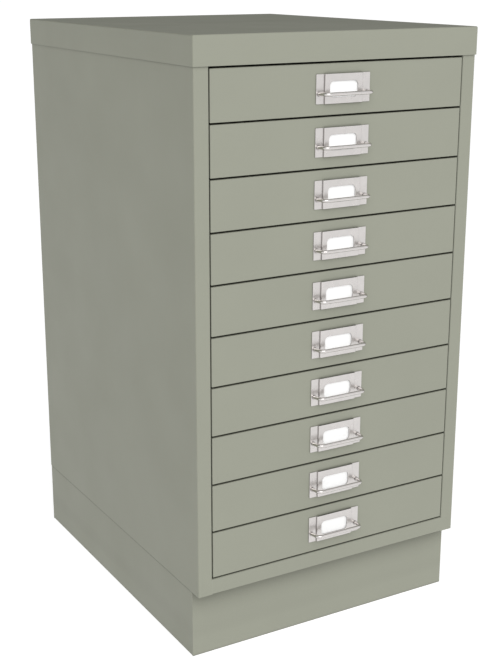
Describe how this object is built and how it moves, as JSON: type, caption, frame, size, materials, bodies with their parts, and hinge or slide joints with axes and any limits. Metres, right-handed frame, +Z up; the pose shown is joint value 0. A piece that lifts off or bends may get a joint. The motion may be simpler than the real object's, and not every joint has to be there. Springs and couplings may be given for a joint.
{
  "type": "multi-drawer cabinet",
  "caption": "Narrow floor-standing steel cabinet with a stack of shallow flat drawers, plated card-holder pulls, a pressed top cap and a set-back plinth.",
  "frame": {"origin": "on the floor, under the middle of the box round the whole cabinet with its pulls", "axes": "+X to the right as seen from the front, +Y from the drawer fronts to the back, +Z up"},
  "size_m": [0.349, 0.4464, 0.673],
  "materials": {
    "cabinet_paint": "smooth satin powder coat, grey-green",
    "runner_steel": "plain zinc-coated sheet",
    "handle_plate": "satin nickel-chrome plating",
    "label_card": "white card, blank",
    "buffer_rubber": "soft black rubber",
    "fastener_zinc": "zinc-plated steel"
  },
  "bodies": {
    "cabinet": {"top_cap": "cabinet_paint", "side_left": "cabinet_paint", "side_right": "cabinet_paint", "back_panel": "cabinet_paint", "base_panel": "cabinet_paint", "bottom_rail": "cabinet_paint", "top_rail": "cabinet_paint", "posts_left": "runner_steel", "posts_right": "runner_steel", "runners_left": "runner_steel", "runners_right": "runner_steel", "rear_buffers": "buffer_rubber", "plinth_front": "cabinet_paint", "plinth_back": "cabinet_paint", "plinth_left": "cabinet_paint", "plinth_right": "cabinet_paint", "plinth_brackets": "cabinet_paint", "plinth_bolts": "fastener_zinc", "plinth_nuts": "fastener_zinc"},
    "drawer_01": {"drawer_01_tray": "cabinet_paint", "drawer_01_front": "cabinet_paint", "drawer_01_handle": "handle_plate", "drawer_01_card": "label_card"},
    "drawer_02": {"drawer_02_tray": "cabinet_paint", "drawer_02_front": "cabinet_paint", "drawer_02_handle": "handle_plate", "drawer_02_card": "label_card"},
    "drawer_03": {"drawer_03_tray": "cabinet_paint", "drawer_03_front": "cabinet_paint", "drawer_03_handle": "handle_plate", "drawer_03_card": "label_card"},
    "drawer_04": {"drawer_04_tray": "cabinet_paint", "drawer_04_front": "cabinet_paint", "drawer_04_handle": "handle_plate", "drawer_04_card": "label_card"},
    "drawer_05": {"drawer_05_tray": "cabinet_paint", "drawer_05_front": "cabinet_paint", "drawer_05_handle": "handle_plate", "drawer_05_card": "label_card"},
    "drawer_06": {"drawer_06_tray": "cabinet_paint", "drawer_06_front": "cabinet_paint", "drawer_06_handle": "handle_plate", "drawer_06_card": "label_card"},
    "drawer_07": {"drawer_07_tray": "cabinet_paint", "drawer_07_front": "cabinet_paint", "drawer_07_handle": "handle_plate", "drawer_07_card": "label_card"},
    "drawer_08": {"drawer_08_tray": "cabinet_paint", "drawer_08_front": "cabinet_paint", "drawer_08_handle": "handle_plate", "drawer_08_card": "label_card"},
    "drawer_09": {"drawer_09_tray": "cabinet_paint", "drawer_09_front": "cabinet_paint", "drawer_09_handle": "handle_plate", "drawer_09_card": "label_card"},
    "drawer_10": {"drawer_10_tray": "cabinet_paint", "drawer_10_front": "cabinet_paint", "drawer_10_handle": "handle_plate", "drawer_10_card": "label_card"}
  },
  "joints": [
    {"name": "drawer_01_slide", "type": "slide", "parent": "cabinet", "child": "drawer_01", "axis": [0, -1, 0], "range_m": [0, 0.33]},
    {"name": "drawer_02_slide", "type": "slide", "parent": "cabinet", "child": "drawer_02", "axis": [0, -1, 0], "range_m": [0, 0.33]},
    {"name": "drawer_03_slide", "type": "slide", "parent": "cabinet", "child": "drawer_03", "axis": [0, -1, 0], "range_m": [0, 0.33]},
    {"name": "drawer_04_slide", "type": "slide", "parent": "cabinet", "child": "drawer_04", "axis": [0, -1, 0], "range_m": [0, 0.33]},
    {"name": "drawer_05_slide", "type": "slide", "parent": "cabinet", "child": "drawer_05", "axis": [0, -1, 0], "range_m": [0, 0.33]},
    {"name": "drawer_06_slide", "type": "slide", "parent": "cabinet", "child": "drawer_06", "axis": [0, -1, 0], "range_m": [0, 0.33]},
    {"name": "drawer_07_slide", "type": "slide", "parent": "cabinet", "child": "drawer_07", "axis": [0, -1, 0], "range_m": [0, 0.33]},
    {"name": "drawer_08_slide", "type": "slide", "parent": "cabinet", "child": "drawer_08", "axis": [0, -1, 0], "range_m": [0, 0.33]},
    {"name": "drawer_09_slide", "type": "slide", "parent": "cabinet", "child": "drawer_09", "axis": [0, -1, 0], "range_m": [0, 0.33]},
    {"name": "drawer_10_slide", "type": "slide", "parent": "cabinet", "child": "drawer_10", "axis": [0, -1, 0], "range_m": [0, 0.33]}
  ]
}
